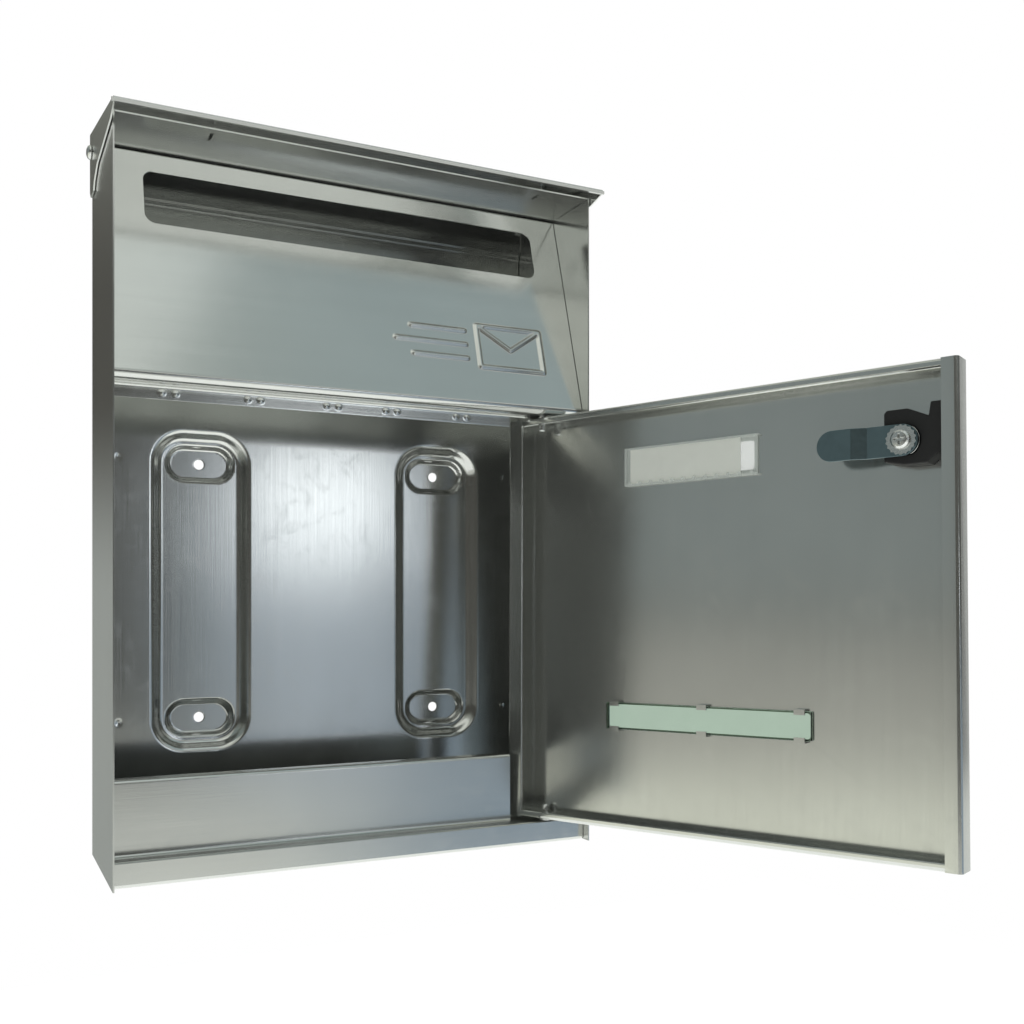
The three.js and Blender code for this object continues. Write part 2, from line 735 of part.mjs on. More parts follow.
function doorPan() {
  const deep = doorDepth - half;
  const sidePath = [
    [hingeLip, deep],
    [half, deep],
    [half, half],
    [doorWidth - half, half],
    [doorWidth - half, deep],
    [doorWidth - freeLip, deep],
  ].map(([s, v]) => [fromHingeEdge(s), fromFace(v)]);
  const endPath = [
    [deep, doorBottom + flangeLip],
    [deep, doorBottom + half],
    [half, doorBottom + half],
    [half, doorTop - half],
    [deep, doorTop - half],
    [deep, doorTop - flangeLip],
  ].map(([v, z]) => [fromFace(v), z]);
  const envelope = alongZ(
    roundRect(fromHingeEdge(doorWidth / 2), 0, doorWidth, doorDepth, bend + sheet, 4),
    doorBottom,
    doorTop,
  );
  const ends = alongX(bentSheet(endPath), fromHingeEdge(doorWidth), fromHingeEdge(0));
  const fold = join(alongZ(bentSheet(sidePath), doorBottom, doorTop), ends);
  const through = [-1, doorDepth / 2];
  const opening = (centre, z, width, height) =>
    alongY(
      roundRect(fromHingeEdge(centre), z, width, height, openingCorner, 3),
      fromFace(through[0]),
      fromFace(through[1]),
    );
  const lockHole = alongY(
    barrelOutline(seam).map(([x, z]) => [fromHingeEdge(lockS) + x, lockZ + z]),
    fromFace(through[0]),
    fromFace(through[1]),
  );
  const pinHoles = [pinLow, pinHigh].map((z) =>
    bar("z", hingePin + 2 * hingeFit, z - bend, z + bend, 0, pinY(z) - hingeY, 20),
  );
  const pierced = cut(
    fold.intersect(envelope),
    opening(nameCentre, nameCentreZ, nameWidth - 2 * nameLap, nameHeight - 2 * nameLap),
    opening(viewCentre, viewCentreZ, viewWidth - 2 * viewLap, viewHeight - 2 * viewLap),
    lockHole,
    ...pinHoles,
  );
  const tabs = viewTabs.flatMap((offset) =>
    [-1, 1].flatMap((end) => {
      const middle = viewCentre + offset;
      const s = [middle - viewTabWidth / 2, middle + viewTabWidth / 2];
      const edge = viewCentreZ + (end * viewHeight) / 2;
      const root = edge + end * seam;
      const behind = plasticFront + viewThickness + seam;
      const lip = [behind, behind + sheet];
      const stem = [root, root + end * sheet];
      const over = [root + end * sheet, edge - end * viewTabLap];
      return [
        doorBox(...s, sheet / 2, lip[1], Math.min(...stem), Math.max(...stem)),
        doorBox(...s, ...lip, Math.min(...over), Math.max(...over)),
      ];
    }),
  );
  return part("door_pan", join(pierced, ...tabs), brushed);
}

// A piece cut from flat stock, at two depths behind the door's face.
function plate(name, centre, z, width, height, v0, v1, corner, material) {
  const outline = roundRect(fromHingeEdge(centre), z, width, height, corner, 3);
  return part(name, alongY(outline, fromFace(v0), fromFace(v1)), material);
}

function viewWindow() {
  const depths = [plasticFront, plasticFront + viewThickness];
  const size = [viewWidth, viewHeight];
  return plate("view_window", viewCentre, viewCentreZ, ...size, ...depths, 0.8, greenPlastic);
}

function nameWindow() {
  const depths = [plasticFront, plasticFront + nameThickness];
  const inner = 2 * (holderSheet + seam);
  const size = [nameWidth - inner, nameHeight - inner];
  return plate("name_window", nameCentre, nameCentreZ, ...size, ...depths, 0.6, clearPlastic);
}

function nameCard() {
  const depths = [cardFront, cardFront + cardThickness];
  const size = [nameWidth - 2 * cardShort, nameHeight - 2 * (holderSheet + 2 * seam)];
  const centre = nameCentre - cardShort / 2;
  return plate("name_card", centre, nameCentreZ, ...size, ...depths, 0.3, paper);
}

// A clear three sided channel over the window and the card, open towards the free edge of the door,
// with a row of crimped beads along its lower rail.
function nameHolder() {
  const s = [nameCentre - nameWidth / 2, nameCentre + nameWidth / 2];
  const z = [nameCentreZ - nameHeight / 2, nameCentreZ + nameHeight / 2];
  const rear = cardFront + cardThickness + seam;
  const shell = doorBox(...s, plasticFront, rear + holderSheet, ...z);
  const within = [z[0] + holderSheet, z[1] - holderSheet];
  const hollow = doorBox(s[0] + holderSheet, s[1] + 1, 0, rear, ...within);
  const view = doorBox(s[0] + holderLip, s[1] + 1, 0, doorDepth, z[0] + holderLip, z[1] - holderLip);
  const pitch = nameWidth / holderBeads;
  const beads = Array.from({ length: holderBeads }, (_, i) =>
    bar(
      "y",
      holderBead,
      fromFace(rear),
      fromFace(rear + 2 * holderSheet),
      fromHingeEdge(s[0] + pitch * (i + 0.5)),
      z[0] + holderBead / 2,
      10,
    ),
  );
  return part("name_holder", join(cut(shell, hollow, view), ...beads), clearPlastic);
}

// ---- Lock: x and z from the lock axis, y = 0 on the door's face, +Y into the housing --------------
function lockBarrel() {
  const body = alongY(barrelOutline(0), -2 * seam, camRoot - 2 * seam);
  const face = turned(
    "y",
    [
      [0, -seam - lockFlangeHeight],
      [lockFlange / 2 - 1, -seam - lockFlangeHeight],
      [lockFlange / 2, -seam - lockFlangeHeight + 1],
      [lockFlange / 2, -seam],
      [0, -seam],
    ],
    0,
    0,
    36,
  );
  const bore = bar("y", plug + 2 * seam, -doorDepth, doorDepth * 2, 0, 0);
  return part("lock_barrel", cut(join(body, face), bore), bright);
}

// The plastic block that grips the barrel behind the sheet; the hinge edge of the door is at +X.
function lockRetainer() {
  const outline = [
    [-19, 17.5],
    [-19, -6],
    [-13, -9.5],
    [-11, -11.4],
    [0, -11.6],
    [9.4, -9.6],
    [9.4, 14],
    [8, 15.5],
    [-2, 15.5],
    [-12, 11],
    [-13, 17.5],
  ];
  const blockBody = alongY(outline.reverse(), sheet + seam, camRoot - 4 * seam);
  const hole = alongY(barrelOutline(seam), 0, doorDepth);
  return part("lock_retainer", cut(blockBody, hole), blackPlastic);
}

function lockPlug() {
  const front = -seam - lockFlangeHeight - plugStand;
  const body = bar("y", plug, front, camRoot - seam, 0, 0);
  const across = [-driveSquare / 2, driveSquare / 2];
  const square = block(...across, camRoot - 1, camRear, ...across);
  const key = [keywayWidth / 2, keywayLength / 2];
  const keyway = block(-key[0], key[0], front - 1, front + keywayDepth, -key[1], key[1]);
  const threadEnd = camRoot - camScrewDepth - 2;
  const thread = bar("y", camScrew + 2 * seam, threadEnd, camRear + 1, 0, 0, 16);
  return part("lock_plug", cut(join(body, square), keyway, thread), bright);
}

function lockCam() {
  const middle = camRoot + camThickness / 2;
  const path = [
    [-camWidth / 2, middle],
    [camCrankStart, middle],
    [camCrankStart + camCrankRun, middle + camCrank],
    [camReach, middle + camCrank],
  ];
  const strip = alongZ(bentSheet(path, 0.8, camThickness), -camWidth / 2, camWidth / 2);
  const length = camReach + camWidth / 2;
  const plan = roundRect(length / 2 - camWidth / 2, 0, length, camWidth, camWidth / 2, 8);
  const square = driveSquare / 2 + seam;
  const drive = block(-square, square, 0, doorDepth * 2, -square, square);
  return part("lock_cam", cut(strip.intersect(alongY(plan, 0, doorDepth * 2)), drive), zinc);
}

function camWasher() {
  const outer = camWidth / 2 - seam;
  const outline = Array.from({ length: washerTeeth * 2 }, (_, i) => {
    const angle = (Math.PI * i) / washerTeeth;
    const r = i % 2 ? outer : outer - washerTooth;
    return [r * Math.cos(angle), r * Math.sin(angle)];
  });
  const ring = alongY(outline, washerFront, washerRear);
  const hole = bar("y", camScrew + 2 * seam, camRoot, screwSeat, 0, 0, 20);
  return part("cam_washer", cut(ring, hole), bright);
}

function camScrewPiece() {
  const r = camScrew / 2;
  const headR = screwHead / 2;
  const top = screwSeat + screwHeadHeight;
  const profile = [
    [0, camRoot - camScrewDepth],
    [r, camRoot - camScrewDepth],
    [r, screwSeat],
    [headR, screwSeat],
    [headR, screwSeat + screwHeadHeight * 0.5],
    [headR * 0.8, screwSeat + screwHeadHeight * 0.9],
    [headR * 0.4, top],
    [0, top],
  ];
  const recess = [top - screwCrossDepth, top + 1];
  const [long, wide] = [screwCross / 2, screwCrossWidth / 2];
  const cross = [
    block(-long, long, ...recess, -wide, wide),
    block(-wide, wide, ...recess, -long, long),
  ];
  return part("cam_screw", cut(turned("y", profile, 0, 0, 24), ...cross), bright);
}

// ---- Assembly -----------------------------------------------------------------------------------
const lockCore = new THREE.Group();
lockCore.add(lockPlug(), lockCam(), camWasher(), camScrewPiece());
const lock = new THREE.Group();
lock.add(lockBarrel(), lockRetainer(), lockCore);
lock.position.set(fromHingeEdge(lockS), fromFace(0), lockZ);

// The door turns about the line through both pins, which leans back by hingeLean.
const pinMiddle = (pinLow + pinHigh) / 2;
const pinLine = new THREE.Vector3(0, hingeLean, pinHigh - pinLow).normalize();
const leaf = new THREE.Group();
leaf.add(doorPan(), viewWindow(), nameWindow(), nameCard(), nameHolder(), lock);
leaf.position.z = -pinMiddle;
const door = new THREE.Group();
door.add(leaf);
door.position.set(hingeX, hingeY, pinMiddle);
door.setRotationFromAxisAngle(pinLine, THREE.MathUtils.degToRad(doorOpenDegrees));

const rainLid = new THREE.Group();
rainLid.add(lid());
rainLid.position.set(0, pivotY, pivotZ);

const housing = new THREE.Group();
housing.add(
  backPanel(),
  sideWall("left_side_wall", -1),
  sideWall("right_side_wall", 1),
  floorPanel(),
  frontSill(),
  topPanel(),
  slotPanel(),
  lidRivet("left_lid_rivet", -1),
  lidRivet("right_lid_rivet", 1),
  doorPin("lower_hinge_pin", ledgeTop, 1),
  doorPin("upper_hinge_pin", slotUnderside, -1),
  doorWasher(),
  rainLid,
  door,
);
housing.position.z = -fixingHeight;

const mailbox = new THREE.Group();
mailbox.name = "wall_mailbox";
mailbox.add(housing);
export default mailbox;
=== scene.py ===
"""Looks of a wall mounted mailbox in folded stainless sheet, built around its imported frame.

Run as a script it makes every visible piece and the studio, in metres, in the frame's own
coordinates: X to the right, Y into the wall, Z up, with the origin between the wall fixings.
"""

import json
import math

import bmesh
import bpy
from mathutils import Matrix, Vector


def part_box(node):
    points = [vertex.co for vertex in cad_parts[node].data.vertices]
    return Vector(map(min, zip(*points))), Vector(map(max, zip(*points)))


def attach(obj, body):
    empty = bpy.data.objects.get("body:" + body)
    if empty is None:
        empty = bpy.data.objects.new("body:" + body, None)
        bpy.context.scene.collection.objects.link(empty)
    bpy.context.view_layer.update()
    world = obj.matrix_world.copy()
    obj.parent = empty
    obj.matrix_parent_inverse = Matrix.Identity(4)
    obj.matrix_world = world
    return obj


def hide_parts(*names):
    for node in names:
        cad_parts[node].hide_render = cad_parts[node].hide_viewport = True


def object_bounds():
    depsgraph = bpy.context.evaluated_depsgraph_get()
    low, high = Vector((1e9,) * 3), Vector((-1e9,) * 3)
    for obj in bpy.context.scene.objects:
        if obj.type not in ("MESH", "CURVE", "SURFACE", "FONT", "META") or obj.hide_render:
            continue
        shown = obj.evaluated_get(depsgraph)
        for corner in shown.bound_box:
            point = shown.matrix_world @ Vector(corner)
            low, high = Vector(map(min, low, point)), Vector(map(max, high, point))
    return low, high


bl_info = {
    "name": "Wall Mounted Mailbox",
    "version": (1, 0, 0),
    "blender": (4, 5, 0),
    "location": "View3D > Sidebar > Mailbox",
    "description": "Builds the sheet metal, the door, the lock and the studio of a mailbox",
    "category": "Object",
}

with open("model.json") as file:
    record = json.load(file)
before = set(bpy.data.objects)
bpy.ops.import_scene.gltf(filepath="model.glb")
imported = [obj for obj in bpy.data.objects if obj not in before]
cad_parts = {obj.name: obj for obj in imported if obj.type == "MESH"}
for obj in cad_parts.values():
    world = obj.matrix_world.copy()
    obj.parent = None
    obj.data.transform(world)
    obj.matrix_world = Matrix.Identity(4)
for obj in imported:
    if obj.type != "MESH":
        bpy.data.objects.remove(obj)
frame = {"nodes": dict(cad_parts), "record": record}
CAD_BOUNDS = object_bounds()
MM = 0.001


# ---- Settings -------------------------------------------------------------------------------------
class MailboxSheetSettings(bpy.types.PropertyGroup):
    """Sizes that the pressed sheets are shaped with."""

    thickness: bpy.props.FloatProperty(
        name="Sheet thickness",
        description="Thickness of every folded sheet",
        default=0.8 * MM,
        unit="LENGTH",
    )
    bend: bpy.props.FloatProperty(
        name="Bend radius",
        description="Inner radius of an ordinary bend",
        default=1.2 * MM,
        unit="LENGTH",
    )
    foot_bend: bpy.props.FloatProperty(
        name="Foot bend radius",
        description="Inner radius of the bend at the foot of the slot panel",
        default=3 * MM,
        unit="LENGTH",
    )
    edge: bpy.props.FloatProperty(
        name="Cut edge",
        description="Rounding of the cut edges of a sheet",
        default=0.16 * MM,
        unit="LENGTH",
    )
    rib_depth: bpy.props.FloatProperty(
        name="Rib depth",
        description="Depth of the ribs pressed out of the back panel",
        default=4.5 * MM,
        unit="LENGTH",
    )
    rib_slope: bpy.props.FloatProperty(
        name="Rib slope",
        description="Width of the slope round a rib",
        default=6.5 * MM,
        unit="LENGTH",
    )
    fixing_spacing: bpy.props.FloatProperty(
        name="Fixing spacing",
        description="Side of the square of the wall fixing holes",
        default=152 * MM,
        unit="LENGTH",
    )
    fixing_hole: bpy.props.FloatProperty(
        name="Fixing hole",
        description="Diameter of a wall fixing hole",
        default=6 * MM,
        unit="LENGTH",
    )


class MailboxFinishSettings(bpy.types.PropertyGroup):
    """Colours and roughness of the finishes."""

    steel: bpy.props.FloatVectorProperty(
        name="Steel",
        description="Colour of the brushed stainless sheet",
        subtype="COLOR",
        size=3,
        default=(0.66, 0.67, 0.65),
    )
    steel_roughness: bpy.props.FloatProperty(
        name="Steel roughness",
        description="Roughness of the brushed sheet between its scratches",
        default=0.15,
        min=0.05,
        max=1.0,
    )
    steel_metallic: bpy.props.FloatProperty(
        name="Steel metallic",
        description="Share of the brushed sheet that reflects; the rest scatters light as a fine haze",
        default=0.92,
        min=0.0,
        max=1.0,
    )
    grain: bpy.props.FloatProperty(
        name="Grain depth",
        description="Depth of the brushed grain",
        default=0.012 * MM,
        unit="LENGTH",
    )
    bright: bpy.props.FloatVectorProperty(
        name="Bright steel",
        description="Colour of pins, rivets and nickel plated pieces",
        subtype="COLOR",
        size=3,
        default=(0.70, 0.71, 0.70),
    )
    zinc: bpy.props.FloatVectorProperty(
        name="Zinc",
        description="Colour of the zinc plated cam",
        subtype="COLOR",
        size=3,
        default=(0.17, 0.235, 0.26),
    )
    window: bpy.props.FloatVectorProperty(
        name="View window",
        description="Tint of the view window",
        subtype="COLOR",
        size=3,
        default=(0.42, 0.53, 0.44),
    )


class MailboxStageSettings(bpy.types.PropertyGroup):
    """Camera, light and floor."""

    lens: bpy.props.FloatProperty(
        name="Focal length",
        description="Focal length of the camera, in millimetres",
        default=39.0,
        min=10.0,
    )
    camera_place: bpy.props.FloatVectorProperty(
        name="Camera place",
        description="Place of the camera",
        subtype="TRANSLATION",
        size=3,
        default=(-0.2052, -0.6838, -0.0071),
    )
    camera_yaw: bpy.props.FloatProperty(
        name="Camera yaw",
        description="Turn of the camera to the right of straight ahead",
        subtype="ANGLE",
        default=math.radians(26.48),
    )
    camera_shift: bpy.props.FloatProperty(
        name="Camera shift",
        description="Upward shift of the lens, as a share of the picture",
        default=0.0886,
    )
    floor_drop: bpy.props.FloatProperty(
        name="Floor drop",
        description="Floor below the lowest point of the mailbox",
        default=0.9,
        unit="LENGTH",
    )
    overhead_power: bpy.props.FloatProperty(
        name="Overhead light",
        description="Power of the overhead softbox, in watts",
        default=5.0,
    )


def sheet_settings():
    return bpy.context.scene.mailbox_sheet


def finish_settings():
    return bpy.context.scene.mailbox_finish


def stage_settings():
    return bpy.context.scene.mailbox_stage


# How much the grain is stretched along X, Y and Z: a small value is the direction that it runs in.
UPRIGHT = (1500.0, 1500.0, 9.0)
SIDEWAYS = (9.0, 1500.0, 1500.0)


# ---- Shader nodes ---------------------------------------------------------------------------------
def add_node(tree, kind, inputs=None, **settings):
    """A new shader node with its settings, and with its inputs set or linked."""
    node = tree.nodes.new(kind)
    for key, value in settings.items():
        setattr(node, key, value)
    for key, value in (inputs or {}).items():
        if isinstance(value, bpy.types.NodeSocket):
            tree.links.new(value, node.inputs[key])
        else:
            node.inputs[key].default_value = value
    return node


def new_group(name, inputs, outputs):
    """An empty shader node group with named sockets: (name, kind, default) in, (name, kind) out."""
    group = bpy.data.node_groups.new(name, "ShaderNodeTree")
    for label, kind, default in inputs:
        socket = group.interface.new_socket(name=label, in_out="INPUT", socket_type=kind)
        socket.default_value = default
    for label, kind in outputs:
        group.interface.new_socket(name=label, in_out="OUTPUT", socket_type=kind)
    return group, group.nodes.new("NodeGroupInput"), group.nodes.new("NodeGroupOutput")


def spread(tree, socket, low, high):
    """A 0 to 1 value spread over another range."""
    node = add_node(tree, "ShaderNodeMapRange", {"Value": socket, "To Min": low, "To Max": high})
    return node.outputs[0]


def grain_group():
    """Long fine scratches along one direction, with broader streaks under them."""
    found = bpy.data.node_groups.get("Sheet Grain")
    if found:
        return found
    group, entry, leave = new_group(
        "Sheet Grain",
        [("Stretch", "NodeSocketVector", UPRIGHT)],
        [(label, "NodeSocketFloat") for label in ("Scratches", "Streaks", "Height")],
    )
    place = add_node(group, "ShaderNodeTexCoord").outputs["Object"]
    fine = add_node(
        group,
        "ShaderNodeVectorMath",
        {0: place, 1: entry.outputs["Stretch"]},
        operation="MULTIPLY",
    )
    scratches = add_node(
        group,
        "ShaderNodeTexNoise",
        {"Vector": fine.outputs[0], "Scale": 1.6, "Detail": 3.0, "Roughness": 0.65},
    )
    broad = add_node(
        group,
        "ShaderNodeVectorMath",
        {0: fine.outputs[0], "Scale": 0.11},
        operation="SCALE",
    )
    streaks = add_node(
        group,
        "ShaderNodeTexNoise",
        {"Vector": broad.outputs[0], "Scale": 1.0, "Detail": 4.0, "Roughness": 0.6},
    )
    total = add_node(
        group,
        "ShaderNodeMath",
        {0: streaks.outputs[0], 1: 0.5, 2: scratches.outputs[0]},
        operation="MULTIPLY_ADD",
    )
    group.links.new(scratches.outputs[0], leave.inputs["Scratches"])
    group.links.new(streaks.outputs[0], leave.inputs["Streaks"])
    group.links.new(total.outputs[0], leave.inputs["Height"])
    return group


def cloud_group():
    """Slow unevenness of a sheet: cloudy patches from rolling and handling, and its slight waves."""
    found = bpy.data.node_groups.get("Sheet Cloud")
    if found:
        return found
    group, entry, leave = new_group(
        "Sheet Cloud",
        [("Scale", "NodeSocketFloat", 14.0)],
        [("Cloud", "NodeSocketFloat"), ("Smudge", "NodeSocketFloat"), ("Wave", "NodeSocketFloat")],
    )
    place = add_node(group, "ShaderNodeTexCoord").outputs["Object"]
    cloud = add_node(
        group,
        "ShaderNodeTexNoise",
        {"Vector": place, "Scale": entry.outputs["Scale"], "Detail": 3.0, "Distortion": 0.6},
    )
    smudge = add_node(
        group,
        "ShaderNodeTexNoise",
        {"Vector": place, "Scale": 70.0, "Detail": 5.0, "Roughness": 0.6, "Distortion": 1.2},
    )
    marks = add_node(
        group,
        "ShaderNodeMapRange",
        {"Value": smudge.outputs[0], "From Min": 0.52, "From Max": 0.75},
    )
    wave = add_node(group, "ShaderNodeTexNoise", {"Vector": place, "Scale": 9.0, "Detail": 1.0})
    group.links.new(cloud.outputs[0], leave.inputs["Cloud"])
    group.links.new(marks.outputs[0], leave.inputs["Smudge"])
    group.links.new(wave.outputs[0], leave.inputs["Wave"])
    return group


def new_material(name):
    """An empty node material, and its Principled shader."""
    material = bpy.data.materials.new(name)
    material.use_nodes = True
    tree = material.node_tree
    tree.nodes.clear()
    shader = tree.nodes.new("ShaderNodeBsdfPrincipled")
    output = tree.nodes.new("ShaderNodeOutputMaterial")
    tree.links.new(shader.outputs[0], output.inputs["Surface"])
    return material, tree, shader


def use_group(tree, group, inputs=None):
    node = tree.nodes.new("ShaderNodeGroup")
    node.node_tree = group
    for key, value in (inputs or {}).items():
        node.inputs[key].default_value = value
    return node


def blend_colour(tree, factor, low, high):
    mix = add_node(tree, "ShaderNodeMix", {"Factor": factor}, data_type="RGBA")
    mix.inputs[6].default_value = (*low, 1.0)
    mix.inputs[7].default_value = (*high, 1.0)
    return mix.outputs[2]


def shade(colour, share):
    return tuple(min(1.0, c * share) for c in colour)


def brushed_material(name, stretch):
    """Brushed stainless sheet with its grain along one direction."""
    settings = finish_settings()
    material, tree, shader = new_material(name)
    grain = use_group(tree, grain_group(), {"Stretch": stretch})
    cloud = use_group(tree, cloud_group(), {"Scale": 14.0})
    steel = tuple(settings.steel)
    base = blend_colour(tree, cloud.outputs["Cloud"], shade(steel, 0.94), shade(steel, 1.06))
    streaked = add_node(tree, "ShaderNodeMix", {"Factor": 0.3}, data_type="RGBA", blend_type="MULTIPLY")
    tree.links.new(base, streaked.inputs[6])
    tree.links.new(
        blend_colour(tree, grain.outputs["Streaks"], (0.72, 0.72, 0.72), (1.0, 1.0, 1.0)),
        streaked.inputs[7],
    )
    tree.links.new(streaked.outputs[2], shader.inputs["Base Color"])
    rough = spread(
        tree,
        grain.outputs["Scratches"],
        settings.steel_roughness - 0.05,
        settings.steel_roughness + 0.06,
    )
    smudged = add_node(
        tree,
        "ShaderNodeMath",
        {0: cloud.outputs["Smudge"], 1: 0.04, 2: rough},
        operation="MULTIPLY_ADD",
    )
    tree.links.new(smudged.outputs[0], shader.inputs["Roughness"])
    scratch = add_node(
        tree,
        "ShaderNodeBump",
        {"Height": grain.outputs["Height"], "Strength": 0.8, "Distance": settings.grain},
    )
    wave = add_node(
        tree,
        "ShaderNodeBump",
        {
            "Height": cloud.outputs["Wave"],
            "Strength": 0.6,
            "Distance": 0.6 * MM,
            "Normal": scratch.outputs[0],
        },
    )
    tree.links.new(wave.outputs[0], shader.inputs["Normal"])
    shader.inputs["Metallic"].default_value = settings.steel_metallic
    return material


def plated_material(name, colour, low, high, scale, depth):
    """A plated or polished piece: uneven gloss, and fine pits at the stated scale."""
    material, tree, shader = new_material(name)
    cloud = use_group(tree, cloud_group(), {"Scale": 120.0})
    place = add_node(tree, "ShaderNodeTexCoord").outputs["Object"]
    pits = add_node(tree, "ShaderNodeTexNoise", {"Vector": place, "Scale": scale, "Detail": 4.0})
    base = blend_colour(tree, cloud.outputs["Cloud"], shade(colour, 0.82), shade(colour, 1.12))
    tree.links.new(base, shader.inputs["Base Color"])
    tree.links.new(spread(tree, pits.outputs[0], low, high), shader.inputs["Roughness"])
    bump = add_node(
        tree, "ShaderNodeBump", {"Height": pits.outputs[0], "Strength": 0.4, "Distance": depth}
    )
    tree.links.new(bump.outputs[0], shader.inputs["Normal"])
    shader.inputs["Metallic"].default_value = 1.0
    return material


def moulded_material(name, colour, roughness, transmission=0.0, depth=0.03 * MM):
    """Moulded plastic or card: a fine skin, faint flow marks, and uneven gloss."""
    material, tree, shader = new_material(name)
    cloud = use_group(tree, cloud_group(), {"Scale": 60.0})
    place = add_node(tree, "ShaderNodeTexCoord").outputs["Object"]
    skin = add_node(tree, "ShaderNodeTexNoise", {"Vector": place, "Scale": 2600.0, "Detail": 2.0})
    base = blend_colour(tree, cloud.outputs["Cloud"], shade(colour, 0.93), shade(colour, 1.05))
    tree.links.new(base, shader.inputs["Base Color"])
    rough = spread(tree, cloud.outputs["Smudge"], roughness, min(1.0, roughness + 0.12))
    tree.links.new(rough, shader.inputs["Roughness"])
    bump = add_node(
        tree, "ShaderNodeBump", {"Height": skin.outputs[0], "Strength": 0.3, "Distance": depth}
    )
    tree.links.new(bump.outputs[0], shader.inputs["Normal"])
    shader.inputs["Transmission Weight"].default_value = transmission
    shader.inputs["IOR"].default_value = 1.49
    return material


def material(name):
    """The named finish, made the first time that a piece asks for it."""
    found = bpy.data.materials.get(name)
    if found:
        return found
    settings = finish_settings()
    bright = tuple(settings.bright)
    makers = {
        "upright_sheet": lambda: brushed_material(name, UPRIGHT),
        "sideways_sheet": lambda: brushed_material(name, SIDEWAYS),
        "bright_steel": lambda: plated_material(name, bright, 0.16, 0.34, 1500.0, 0.02 * MM),
        "nickel_plate": lambda: plated_material(name, shade(bright, 0.95), 0.12, 0.3, 900.0, 0.02 * MM),
        "zinc_plate": lambda: plated_material(name, tuple(settings.zinc), 0.25, 0.45, 700.0, 0.04 * MM),
        "black_moulding": lambda: moulded_material(name, (0.006, 0.006, 0.007), 0.6),
        "green_window": lambda: moulded_material(name, tuple(settings.window), 0.08, 1.0, 0.004 * MM),
        "clear_window": lambda: moulded_material(name, (0.93, 0.95, 0.94), 0.06, 1.0, 0.004 * MM),
        "plain_card": lambda: moulded_material(name, (0.80, 0.82, 0.78), 0.7),
    }
    return makers[name]()


# ---- Mesh work ------------------------------------------------------------------------------------
def new_piece(name, mesh, body, finish, slot):
    """An object for a finished mesh, riding on a body of the frame."""
    piece = bpy.data.objects.new(name, mesh)
    bpy.context.scene.collection.objects.link(piece)
    mesh.materials.clear()
    mesh.materials.append(material(finish))
    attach(piece, body)
    return piece


def body_of(node):
    bodies = frame["record"]["behaviour"]["bodies"]
    return next(body for body, nodes in bodies.items() if node in nodes)


def softened(node, name, finish, slot, edge, segments=2, flat=False, pierced=False):
    """The frame's own shape with its cut edges rounded, and its bends shaded as curves or flat.

    A pierced sheet keeps its triangles, because one face can't hold an opening."""
    shape = bmesh.new()
    shape.from_mesh(frame["nodes"][node].data)
    bmesh.ops.remove_doubles(shape, verts=shape.verts, dist=0.002 * MM)
    if not pierced:
        bmesh.ops.dissolve_limit(
            shape, angle_limit=math.radians(1.0), verts=shape.verts, edges=shape.edges
        )
    mesh = bpy.data.meshes.new(name)
    shape.to_mesh(mesh)
    shape.free()
    if not flat:
        mesh.shade_smooth()
    piece = new_piece(name, mesh, body_of(node), finish, slot)
    rounding = piece.modifiers.new("cut edges", "BEVEL")
    rounding.width = edge
    rounding.segments = segments
    rounding.limit_method = "ANGLE"
    rounding.angle_limit = math.radians(38)
    rounding.use_clamp_overlap = True
    rounding.miter_outer = "MITER_ARC"
    if not flat:
        normals = piece.modifiers.new("flat faces", "WEIGHTED_NORMAL")
        normals.weight = 100
        normals.keep_sharp = False
    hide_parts(node)
    return piece


def lines(low, high, step, bands):
    """Grid lines from low to high, closer together inside each band (from, to, step)."""
    found = {round(low, 7), round(high, 7)}
    count = math.ceil((high - low) / step)
    found.update(round(low + (high - low) * i / count, 7) for i in range(count + 1))
    for start, end, fine in bands:
        found = {line for line in found if not start < line < end}
        count = math.ceil((end - start) / fine)
        found.update(round(start + (end - start) * i / count, 7) for i in range(count + 1))
    return sorted(found)


def rounded_distance(u, v, half_u, half_v, radius):
    """Distance outside a rounded rectangle centred on the origin, negative inside it."""
    a = abs(u) - (half_u - radius)
    b = abs(v) - (half_v - radius)
    return math.hypot(max(a, 0.0), max(b, 0.0)) + min(max(a, b), 0.0) - radius


def ease(value):
    t = min(1.0, max(0.0, value))
    return t * t * (3 - 2 * t)


